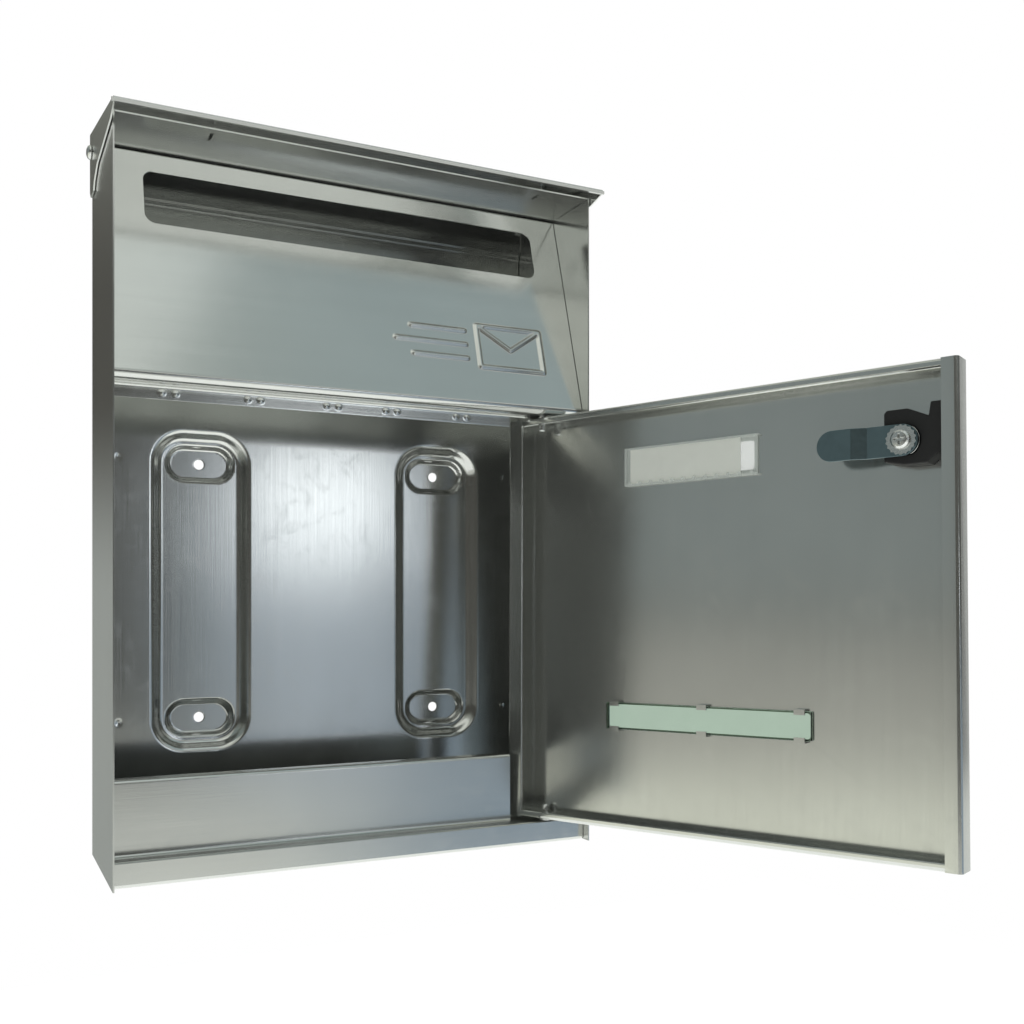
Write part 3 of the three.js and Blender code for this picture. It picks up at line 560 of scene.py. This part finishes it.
class Fold:
    """A path of (y, z) corners with rounded bends, measured along its length."""

    def __init__(self, corners, radii, steps=8):
        self.points = [Vector(corners[0])]
        for before, corner, after, radius in zip(corners, corners[1:], corners[2:], radii):
            corner = Vector(corner)
            arrive = (corner - Vector(before)).normalized()
            depart = (Vector(after) - corner).normalized()
            turn = math.atan2(arrive.cross(depart), arrive.dot(depart))
            back = radius * math.tan(abs(turn) / 2)
            side = Vector((-arrive.y, arrive.x)) * math.copysign(1.0, turn)
            centre = corner - arrive * back + side * radius
            for i in range(steps + 1):
                angle = turn * i / steps
                spoke = -side * radius
                turned = Vector(
                    (
                        spoke.x * math.cos(angle) - spoke.y * math.sin(angle),
                        spoke.x * math.sin(angle) + spoke.y * math.cos(angle),
                    )
                )
                self.points.append(centre + turned)
        self.points.append(Vector(corners[-1]))
        self.stations = [0.0]
        for a, b in zip(self.points, self.points[1:]):
            self.stations.append(self.stations[-1] + (b - a).length)

    def nearest(self, place):
        """The station of the point of the path that is nearest to a place."""
        place = Vector(place)
        best = (1e9, 0.0)
        for a, b, start in zip(self.points, self.points[1:], self.stations):
            run = b - a
            share = min(1.0, max(0.0, (place - a).dot(run) / max(1e-18, run.length_squared)))
            best = min(best, ((a + run * share - place).length, start + run.length * share))
        return best[1]

    @property
    def length(self):
        return self.stations[-1]

    def at(self, station):
        """The point at a distance along the path, and the unit normal on its left."""
        i = 0
        while i < len(self.stations) - 2 and station > self.stations[i + 1] + 1e-9:
            i += 1
        a, b = self.points[i], self.points[i + 1]
        share = (station - self.stations[i]) / max(1e-12, self.stations[i + 1] - self.stations[i])
        along = self.tangent(i, share)
        return a.lerp(b, share), Vector((-along.y, along.x))

    def tangent(self, i, share):
        """The direction of the path, turning evenly through a bend."""
        here = (self.points[i + 1] - self.points[i]).normalized()
        other = i + 1 if share > 0.5 else i - 1
        if not 0 <= other < len(self.points) - 1:
            return here
        near = (self.points[other + 1] - self.points[other]).normalized()
        weight = abs(share - 0.5)
        return (here * (1 - weight) + near * weight).normalized()


def pressed_sheet(name, fold, across, along, thickness, height, cuts):
    """A closed sheet along a fold: height(x, s) presses it along its normal, each cut(x, s) is a
    signed distance that opens it where it is negative."""

    def in_cut(x, s):
        return any(cut(x, s) < 0 for cut in cuts)

    kept = {
        (i, j)
        for i in range(len(across) - 1)
        for j in range(len(along) - 1)
        if not in_cut((across[i] + across[i + 1]) / 2, (along[j] + along[j + 1]) / 2)
    }
    rim = set()
    for i in range(len(across) - 1):
        for j in range(len(along) - 1):
            if (i, j) not in kept:
                rim.update({(i, j), (i + 1, j), (i, j + 1), (i + 1, j + 1)})

    def snapped(x, s):
        nearest = min(cuts, key=lambda cut: abs(cut(x, s)))
        for _ in range(3):
            d, small = nearest(x, s), 0.02 * MM
            gx = (nearest(x + small, s) - nearest(x - small, s)) / (2 * small)
            gs = (nearest(x, s + small) - nearest(x, s - small)) / (2 * small)
            size = max(0.25, gx * gx + gs * gs)
            x, s = x - d * gx / size, s - d * gs / size
        return x, s

    shape = bmesh.new()
    corners = {}
    for i, j in {(i + a, j + b) for i, j in kept for a in (0, 1) for b in (0, 1)}:
        x, s = across[i], along[j]
        if (i, j) in rim:
            x, s = snapped(x, s)
        point, normal = fold.at(s)
        lift = height(x, s)
        sides = []
        for side in (1, -1):
            y, z = point + normal * (lift + side * thickness / 2)
            sides.append(shape.verts.new((x, y, z)))
        corners[i, j] = sides
    edge_count = {}
    for i, j in kept:
        ring = [(i, j), (i + 1, j), (i + 1, j + 1), (i, j + 1)]
        shape.faces.new([corners[k][0] for k in ring])
        shape.faces.new([corners[k][1] for k in reversed(ring)])
        for a, b in zip(ring, ring[1:] + ring[:1]):
            edge_count.setdefault(frozenset((a, b)), []).append((a, b))
    for uses in edge_count.values():
        if len(uses) == 1:
            a, b = uses[0]
            shape.faces.new([corners[b][0], corners[a][0], corners[a][1], corners[b][1]])
    bmesh.ops.recalc_face_normals(shape, faces=shape.faces)
    mesh = bpy.data.meshes.new(name)
    shape.to_mesh(mesh)
    shape.free()
    mesh.shade_smooth()
    return mesh


def rounded_rim(piece, edge):
    """Rounds the cut edges of a pressed sheet."""
    rounding = piece.modifiers.new("cut edges", "BEVEL")
    rounding.width = edge
    rounding.segments = 2
    rounding.limit_method = "ANGLE"
    rounding.angle_limit = math.radians(60)
    normals = piece.modifiers.new("flat faces", "WEIGHTED_NORMAL")
    normals.weight = 60
    normals.keep_sharp = False


# Sizes of the back panel that its box doesn't give; the halves are (width, height).
HEM_GAP = 0.3 * MM
HEM_DROP = 7 * MM
HEM_BEND = 0.5 * MM
RIB_HALF_WIDTH = 29 * MM
RIB_OVERHANG = 19.5 * MM
RIB_CORNER = 20 * MM
PAD_HALF = (20 * MM, 11 * MM)
PAD_SLOPE = 2.5 * MM
BACK_WELD = (123 * MM, 77 * MM)
BACK_WELD_RAISE = 0.5 * MM
BACK_WELD_RADIUS = 2.4 * MM
BACK_WELD_HEIGHT = 0.35 * MM

# Sizes of the slot panel that its box doesn't give.
STOP_FLANGE = 7 * MM
TOP_FLANGE = 12 * MM
STOP_BEHIND_LIP = 14.3 * MM
RAIL_LENGTH = 229.7 * MM
SLOT_WIDTH = 234 * MM
SLOT_HEIGHT = 31 * MM
SLOT_BELOW_TOP = 26.7 * MM
LETTER_INSET = 43.9 * MM
LETTER_RISE = 38.6 * MM
LETTER_HALF = (21 * MM, 13.5 * MM)
RIDGE_WIDTH = 3.2 * MM
RIDGE_HEIGHT = 1.1 * MM
WELD_PLACES = [side * x * MM for side in (-1, 1) for x in (14, 21, 58, 65)] + [-110 * MM, -103 * MM]


def segment_distance(x, y, x0, y0, x1, y1):
    """Distance from a point to the line between two others."""
    run = (x1 - x0, y1 - y0)
    share = ((x - x0) * run[0] + (y - y0) * run[1]) / (run[0] ** 2 + run[1] ** 2)
    share = min(1.0, max(0.0, share))
    return math.hypot(x - x0 - run[0] * share, y - y0 - run[1] * share)


def letter_strokes(x, s):
    """A closed letter with its flap, and three lines behind it; s runs down the fold."""
    w, h = LETTER_HALF
    corners = [(x - w, s - h), (x + w, s - h), (x + w, s + h), (x - w, s + h)]
    strokes = [(*a, *b) for a, b in zip(corners, corners[1:] + corners[:1])]
    strokes += [(*corners[0], x, s + 1 * MM), (x, s + 1 * MM, *corners[1])]
    for row in (-1, 0, 1):
        end = x - w - 8 * MM
        strokes.append((end - (44 - 10 * abs(row)) * MM, s + row * 9 * MM, end, s + row * 9 * MM))
    return strokes


# ---- Pieces ---------------------------------------------------------------------------------------
class MAILBOX_OT_back_panel(bpy.types.Operator):
    """Presses the back panel: two ribs with a fixing pad at each end, and a hem along the top"""

    bl_idname = "mailbox.back_panel"
    bl_label = "Back Panel"

    def execute(self, context):
        sheet = sheet_settings()
        low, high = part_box("back_panel")
        t = sheet.thickness
        spacing = sheet.fixing_spacing
        front = low.y + t  # the hem stands one sheet and a gap in front of the panel
        panel_y = front + HEM_GAP + t / 2
        fold = Fold(
            [
                (panel_y, low.z),
                (panel_y, high.z - t / 2),
                (low.y + t / 2, high.z - t / 2),
                (low.y + t / 2, high.z - HEM_DROP),
            ],
            [HEM_BEND, HEM_BEND],
        )
        pad_depth = -(panel_y + t / 2) - sheet.rib_depth
        rib_half = (RIB_HALF_WIDTH, spacing / 2 + RIB_OVERHANG)

        def height(x, s):
            z = low.z + s
            if s > fold.length - 12 * MM:
                return 0.0
            u = abs(x) - spacing / 2
            rib = -rounded_distance(u, z, *rib_half, RIB_CORNER)
            pad = -rounded_distance(u, abs(z) - spacing / 2, *PAD_HALF, PAD_HALF[1])
            weld_z = abs(z - BACK_WELD_RAISE) - BACK_WELD[1]
            weld = math.hypot(abs(x) - BACK_WELD[0], weld_z)
            pressed = sheet.rib_depth * ease(rib / sheet.rib_slope)
            pressed += pad_depth * ease(pad / PAD_SLOPE)
            return -pressed - BACK_WELD_HEIGHT * ease(1 - weld / BACK_WELD_RADIUS)

        def fixing(x, s):
            z = low.z + s
            off = math.hypot(abs(x) - spacing / 2, abs(z) - spacing / 2)
            return off - sheet.fixing_hole / 2

        half = spacing / 2
        columns = []
        for side in (-1, 1):
            columns.append((side * half - 31 * MM, side * half + 31 * MM, 1.0 * MM))
            weld_x = side * BACK_WELD[0]
            columns.append((weld_x - 3 * MM, weld_x + 3 * MM, 0.6 * MM))
        rows = [(-half - 22 * MM, half + 22 * MM, 2.4 * MM)]
        rows += [(end * half - 21 * MM, end * half + 21 * MM, 0.9 * MM) for end in (-1, 1)]
        rows = [(a - low.z, b - low.z, step) for a, b, step in rows]
        bends = (fold.stations[1] - 0.2 * MM, fold.stations[-2] + 0.2 * MM, 0.25 * MM)
        mesh = pressed_sheet(
            "back_panel_sheet",
            fold,
            lines(low.x, high.x, 14 * MM, columns),
            lines(0.0, fold.length, 14 * MM, [*rows, bends]),
            t,
            height,
            [fixing],
        )
        piece = new_piece("back_panel_sheet", mesh, "root", "upright_sheet", "brushed")
        rounded_rim(piece, sheet.edge)
        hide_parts("back_panel")
        return {"FINISHED"}


class MAILBOX_OT_slot_panel(bpy.types.Operator):
    """Folds the slot panel, opens the letter slot and raises the letter pictogram"""

    bl_idname = "mailbox.slot_panel"
    bl_label = "Slot Panel"

    def execute(self, context):
        sheet = sheet_settings()
        t = sheet.thickness
        low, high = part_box("slot_panel")
        foot_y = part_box("floor_panel")[0].y + t / 2
        foot_z = low.z + STOP_FLANGE + t / 2
        stop_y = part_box("front_sill")[0].y + STOP_BEHIND_LIP
        head_y, head_z = high.y - TOP_FLANGE, high.z - t / 2
        fold = Fold(
            [(high.y, head_z), (head_y, head_z), (foot_y, foot_z), (stop_y, foot_z), (stop_y, low.z)],
            [sheet.bend + t / 2, sheet.foot_bend + t / 2, sheet.bend + t / 2],
        )
        lean = (head_y - foot_y) / (head_z - foot_z)

        def station(z):
            """The distance along the fold of a height on the inclined face."""
            return fold.nearest((foot_y + (z - foot_z) * lean, z))

        slot_z = high.z - SLOT_BELOW_TOP
        slot_half = (SLOT_WIDTH / 2, SLOT_HEIGHT / 2 * math.hypot(1.0, lean))
        slot_s = station(slot_z)
        letter_s = station(foot_z + LETTER_RISE)
        letter_x = high.x - LETTER_INSET
        strokes = letter_strokes(letter_x, letter_s)
        flange_s = fold.nearest((stop_y, foot_z - sheet.bend))
        notch_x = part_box("front_sill")[0].x + RAIL_LENGTH
        pin_low, pin_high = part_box("upper_hinge_pin")
        pin_x, pin_y = (pin_low.x + pin_high.x) / 2, (pin_low.y + pin_high.y) / 2
        pin_s = fold.nearest((pin_y, foot_z))
        welds = [(x, flange_s + 2.6 * MM) for x in WELD_PLACES]

        def height(x, s):
            lift = 0.0
            if abs(s - letter_s) < 20 * MM and x > -10 * MM:
                near = min(segment_distance(x, s, *stroke) for stroke in strokes)
                lift = -RIDGE_HEIGHT * ease(1.15 - near / (RIDGE_WIDTH / 2))
            if s > flange_s - 2 * MM:
                near = min(math.hypot(x - a, s - b) for a, b in welds)
                lift += -0.4 * MM * ease(1 - near / (2.2 * MM))
            return lift

        def slot(x, s):
            return rounded_distance(x, s - slot_s, *slot_half, 6 * MM)

        def hinge_notch(x, s):
            return max(notch_x - x, flange_s - s)

        def pin_hole(x, s):
            return math.hypot(x - pin_x, s - pin_s) - 2 * MM

        first = letter_x - 75 * MM
        across = [(first, letter_x + 24 * MM, 0.75 * MM), (pin_x - 3 * MM, high.x - 18 * MM, 0.8 * MM)]
        across += [(low.x + 18 * MM, low.x + 26 * MM, 0.8 * MM)]
        across += [(x - 2.4 * MM, x + 2.4 * MM, 0.8 * MM) for x in WELD_PLACES if x < first]
        across += [(notch_x - 2 * MM, notch_x, 1 * MM)]
        along = [
            (0.0, station(high.z - 3 * MM), 0.6 * MM),
            (slot_s - slot_half[1] - 1 * MM, slot_s - slot_half[1] + 6 * MM, 0.8 * MM),
            (slot_s + slot_half[1] - 6 * MM, slot_s + slot_half[1] + 1 * MM, 0.8 * MM),
            (letter_s - 17 * MM, letter_s + 17 * MM, 0.75 * MM),
            (station(foot_z + 6 * MM), flange_s, 0.5 * MM),
            (flange_s, fold.length, 0.6 * MM),
        ]
        mesh = pressed_sheet(
            "slot_panel_sheet",
            fold,
            lines(low.x, high.x, 9 * MM, across),
            lines(0.0, fold.length, 9 * MM, along),
            t,
            height,
            [slot, hinge_notch, pin_hole],
        )
        piece = new_piece("slot_panel_sheet", mesh, "root", "sideways_sheet", "brushed")
        rounded_rim(piece, sheet.edge)
        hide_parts("slot_panel")
        return {"FINISHED"}


class MAILBOX_OT_housing(bpy.types.Operator):
    """Makes the side walls, the floor panel, the front sill and the top panel"""

    bl_idname = "mailbox.housing"
    bl_label = "Housing"

    def execute(self, context):
        edge = sheet_settings().edge
        for node in ("left_side_wall", "right_side_wall"):
            softened(node, node + "_sheet", "upright_sheet", "brushed", edge)
        for node in ("floor_panel", "front_sill", "top_panel"):
            softened(node, node + "_sheet", "sideways_sheet", "brushed", edge)
        return {"FINISHED"}


class MAILBOX_OT_lid(bpy.types.Operator):
    """Makes the rain lid and the rivets that it turns on"""

    bl_idname = "mailbox.lid"
    bl_label = "Rain Lid"

    def execute(self, context):
        softened("lid", "lid_sheet", "sideways_sheet", "brushed", sheet_settings().edge)
        for node in ("left_lid_rivet", "right_lid_rivet"):
            softened(node, node + "_turned", "bright_steel", "bright", 0.25 * MM, 3)
        return {"FINISHED"}


class MAILBOX_OT_door(bpy.types.Operator):
    """Makes the door pan with its hinge pins and washer"""

    bl_idname = "mailbox.door"
    bl_label = "Door"

    def execute(self, context):
        edge = sheet_settings().edge
        softened("door_pan", "door_pan_sheet", "upright_sheet", "brushed", edge, pierced=True)
        for node in ("lower_hinge_pin", "upper_hinge_pin", "hinge_washer"):
            softened(node, node + "_turned", "bright_steel", "bright", 0.12 * MM)
        return {"FINISHED"}


class MAILBOX_OT_windows(bpy.types.Operator):
    """Makes the name holder with its window and card, and the view window"""

    bl_idname = "mailbox.windows"
    bl_label = "Windows"

    def execute(self, context):
        for node, name, finish, slot, edge in (
            ("name_holder", "name_holder_channel", "clear_window", "clear_window", 0.08 * MM),
            ("name_window", "name_window_plate", "clear_window", "clear_window", 0.12 * MM),
            ("name_card", "name_card_slip", "plain_card", "card", 0.05 * MM),
            ("view_window", "view_window_plate", "green_window", "tinted_window", 0.2 * MM),
        ):
            softened(node, name, finish, slot, edge, flat=True)
        return {"FINISHED"}


class MAILBOX_OT_lock(bpy.types.Operator):
    """Makes the lock: barrel, retainer, plug, cam, toothed washer and screw"""

    bl_idname = "mailbox.lock"
    bl_label = "Lock"

    def execute(self, context):
        softened("lock_barrel", "lock_barrel_turned", "nickel_plate", "nickel", 0.25 * MM, 3)
        softened(
            "lock_retainer", "lock_retainer_moulding", "black_moulding", "black_plastic", 0.5 * MM, 3
        )
        softened("lock_plug", "lock_plug_turned", "nickel_plate", "nickel", 0.15 * MM)
        softened("lock_cam", "lock_cam_strip", "zinc_plate", "zinc", 0.2 * MM, 3)
        softened("cam_washer", "cam_washer_ring", "bright_steel", "bright", 0.08 * MM)
        softened("cam_screw", "cam_screw_head", "bright_steel", "bright", 0.12 * MM)
        return {"FINISHED"}


# ---- Stage ----------------------------------------------------------------------------------------
LIGHT_PLACE = (-0.6, -1.2, 2.2)
LIGHT_AIM = (0.0, -0.1, 0.1)
LIGHT_SIZE = (2.4, 1.8)
LIGHT_COLOUR = (1.0, 1.0, 0.99)
FLOOR_CELLS = 24
FLOOR_HALF = 2.6
FLOOR_GLOW = 0.75


def area_light(name, place, aim, size, power, colour):
    light = bpy.data.lights.new(name, "AREA")
    light.shape = "RECTANGLE"
    light.size, light.size_y = size
    light.energy = power
    light.color = colour
    lamp = bpy.data.objects.new(name, light)
    lamp.location = place
    lamp.rotation_euler = (Vector(aim) - Vector(place)).to_track_quat("-Z", "Y").to_euler()
    bpy.context.scene.collection.objects.link(lamp)
    return lamp


# What the steel reflects: (left, right, blur) and (low, high, blur) in degrees, with 0 straight in
# front of the mailbox and level with the camera, and the light there. Later ones lie over earlier.
ROOM_COLOUR = (0.07, 0.068, 0.06)
EVERYWHERE = (-200.0, 200.0, 1.0)
LEFT = (-135.0, -76.0, 4.0)
BEHIND = (100.0, 162.0, 6.0)
WALL_SIDE = (-200.0, -150.0, 8.0)
WALL_SIDE_WRAPPED = (170.0, 200.0, 5.0)  # the same side, past the half turn
STUDIO_LIGHT = [
    (EVERYWHERE, (28.0, 100.0, 14.0), (0.52, 0.55, 0.49)),
    ((12.0, 70.0, 16.0), (20.0, 80.0, 12.0), (0.38, 0.46, 0.47)),
    (EVERYWHERE, (-100.0, -8.0, 2.0), (0.76, 0.78, 0.73)),
    ((19.0, 90.0, 6.0), (-30.0, -3.0, 4.0), (0.30, 0.38, 0.46)),
    ((-25.0, 45.0, 8.0), (18.0, 27.0, 2.0), (0.80, 0.81, 0.78)),
    ((10.2, 26.0, 1.2), (-8.0, 9.0, 1.5), (0.27, 0.33, 0.39)),
    ((12.5, 20.6, 1.0), (-8.0, 3.0, 1.2), (0.50, 0.57, 0.65)),
    ((12.8, 20.4, 1.2), (2.0, 8.2, 1.2), (2.2, 2.3, 2.4)),
    (LEFT, (2.0, 50.0, 1.6), (0.25, 0.285, 0.285)),
    (LEFT, (-6.0, 1.0, 1.5), (0.42, 0.42, 0.38)),
    (LEFT, (-60.0, -6.0, 1.2), (0.98, 1.0, 0.86)),
    (BEHIND, (-100.0, 100.0, 1.0), (0.95, 0.97, 0.95)),
    (WALL_SIDE, (-60.0, 5.0, 5.0), (0.34, 0.36, 0.34)),
    (WALL_SIDE_WRAPPED, (-60.0, 5.0, 5.0), (0.34, 0.36, 0.34)),
]


def studio_world():
    """Pale surroundings: a bright floor side, a dim room with softboxes, and plain white behind."""
    world = bpy.data.worlds.new("studio")
    bpy.context.scene.world = world
    world.use_nodes = True
    tree = world.node_tree
    tree.nodes.clear()
    way = add_node(tree, "ShaderNodeTexCoord").outputs["Generated"]
    parts = add_node(tree, "ShaderNodeSeparateXYZ", {0: way}).outputs
    forward = add_node(tree, "ShaderNodeMath", {0: parts["Y"], 1: -1.0}, operation="MULTIPLY")
    turn = add_node(tree, "ShaderNodeMath", {0: parts["X"], 1: forward.outputs[0]}, operation="ARCTAN2")
    rise = add_node(tree, "ShaderNodeMath", {0: parts["Z"]}, operation="ARCSINE")

    def window(angle, start, end, blur):
        """1 between two angles, falling off smoothly at both, in degrees."""
        edges = []
        for low, high in ((start - blur, start + blur), (end + blur, end - blur)):
            edge = add_node(
                tree,
                "ShaderNodeMapRange",
                {"Value": angle, "From Min": math.radians(low), "From Max": math.radians(high)},
                interpolation_type="SMOOTHSTEP",
            )
            edges.append(edge.outputs[0])
        both = add_node(tree, "ShaderNodeMath", {0: edges[0], 1: edges[1]}, operation="MULTIPLY")
        return both.outputs[0]

    colour = None
    for (left, right, side_blur), (low, high, height_blur), light in STUDIO_LIGHT:
        across = window(turn.outputs[0], left, right, side_blur)
        upward = window(rise.outputs[0], low, high, height_blur)
        share = add_node(tree, "ShaderNodeMath", {0: across, 1: upward}, operation="MULTIPLY")
        layer = add_node(tree, "ShaderNodeMix", {"Factor": share.outputs[0]}, data_type="RGBA")
        if colour:
            tree.links.new(colour, layer.inputs[6])
        else:
            layer.inputs[6].default_value = (*ROOM_COLOUR, 1.0)
        layer.inputs[7].default_value = (*light, 1.0)
        colour = layer.outputs[2]
    sight = add_node(tree, "ShaderNodeLightPath").outputs["Is Camera Ray"]
    mix = add_node(tree, "ShaderNodeMix", {"Factor": sight}, data_type="RGBA")
    tree.links.new(colour, mix.inputs[6])
    mix.inputs[7].default_value = (1.0, 1.0, 1.0, 1.0)
    background = add_node(tree, "ShaderNodeBackground", {"Color": mix.outputs[2], "Strength": 1.0})
    output = tree.nodes.new("ShaderNodeOutputWorld")
    tree.links.new(background.outputs[0], output.inputs["Surface"])


def floor_material():
    """Pale flat paper floor with a faint tooth."""
    made, tree, shader = new_material("pale_floor")
    place = add_node(tree, "ShaderNodeTexCoord").outputs["Object"]
    tooth = add_node(tree, "ShaderNodeTexNoise", {"Vector": place, "Scale": 40.0, "Detail": 4.0})
    base = blend_colour(tree, tooth.outputs[0], (0.93, 0.93, 0.92), (0.98, 0.98, 0.97))
    tree.links.new(base, shader.inputs["Base Color"])
    tree.links.new(base, shader.inputs["Emission Color"])
    shader.inputs["Emission Strength"].default_value = FLOOR_GLOW
    shader.inputs["Roughness"].default_value = 0.9
    return made


class MAILBOX_OT_stage(bpy.types.Operator):
    """Makes the camera, the floor and the soft studio light"""

    bl_idname = "mailbox.stage"
    bl_label = "Stage"

    def execute(self, context):
        settings = stage_settings()
        scene = context.scene
        scene.view_settings.view_transform = "Standard"
        camera = bpy.data.objects.new("camera", bpy.data.cameras.new("camera"))
        scene.collection.objects.link(camera)
        camera.data.lens = settings.lens
        camera.data.shift_y = settings.camera_shift
        camera.location = settings.camera_place
        camera.rotation_euler = (math.radians(90), 0.0, -settings.camera_yaw)
        scene.camera = camera

        studio_world()
        area_light(
            "overhead_light",
            LIGHT_PLACE,
            LIGHT_AIM,
            LIGHT_SIZE,
            settings.overhead_power,
            LIGHT_COLOUR,
        )

        low = CAD_BOUNDS[0]
        sweep = bmesh.new()
        bmesh.ops.create_grid(
            sweep, x_segments=FLOOR_CELLS, y_segments=FLOOR_CELLS, size=FLOOR_HALF
        )
        mesh = bpy.data.meshes.new("floor")
        sweep.to_mesh(mesh)
        sweep.free()
        floor = bpy.data.objects.new("floor", mesh)
        floor.location.z = low.z - settings.floor_drop
        scene.collection.objects.link(floor)
        mesh.materials.append(floor_material())
        return {"FINISHED"}


# ---- Panel and run --------------------------------------------------------------------------------
PIECE_OPERATORS = (
    MAILBOX_OT_back_panel,
    MAILBOX_OT_slot_panel,
    MAILBOX_OT_housing,
    MAILBOX_OT_lid,
    MAILBOX_OT_door,
    MAILBOX_OT_windows,
    MAILBOX_OT_lock,
    MAILBOX_OT_stage,
)


class MAILBOX_PT_build(bpy.types.Panel):
    """Lists the pieces of the mailbox and the settings that shape them"""

    bl_idname = "MAILBOX_PT_build"
    bl_label = "Mailbox"
    bl_space_type = "VIEW_3D"
    bl_region_type = "UI"
    bl_category = "Mailbox"

    def draw(self, context):
        for operator in PIECE_OPERATORS:
            self.layout.operator(operator.bl_idname)
        for group in (sheet_settings(), finish_settings(), stage_settings()):
            for key in group.bl_rna.properties.keys():
                if key not in {"rna_type", "name"}:
                    self.layout.prop(group, key)


SETTING_GROUPS = {
    "mailbox_sheet": MailboxSheetSettings,
    "mailbox_finish": MailboxFinishSettings,
    "mailbox_stage": MailboxStageSettings,
}


def register():
    for group in SETTING_GROUPS.values():
        bpy.utils.register_class(group)
    for key, group in SETTING_GROUPS.items():
        setattr(bpy.types.Scene, key, bpy.props.PointerProperty(type=group))
    for operator in PIECE_OPERATORS:
        bpy.utils.register_class(operator)
    bpy.utils.register_class(MAILBOX_PT_build)


def unregister():
    bpy.utils.unregister_class(MAILBOX_PT_build)
    for operator in reversed(PIECE_OPERATORS):
        bpy.utils.unregister_class(operator)
    for key, group in SETTING_GROUPS.items():
        delattr(bpy.types.Scene, key)
        bpy.utils.unregister_class(group)


def main():
    register()
    for operator in PIECE_OPERATORS:
        area, name = operator.bl_idname.split(".")
        getattr(getattr(bpy.ops, area), name)()


if __name__ == "__main__":
    main()
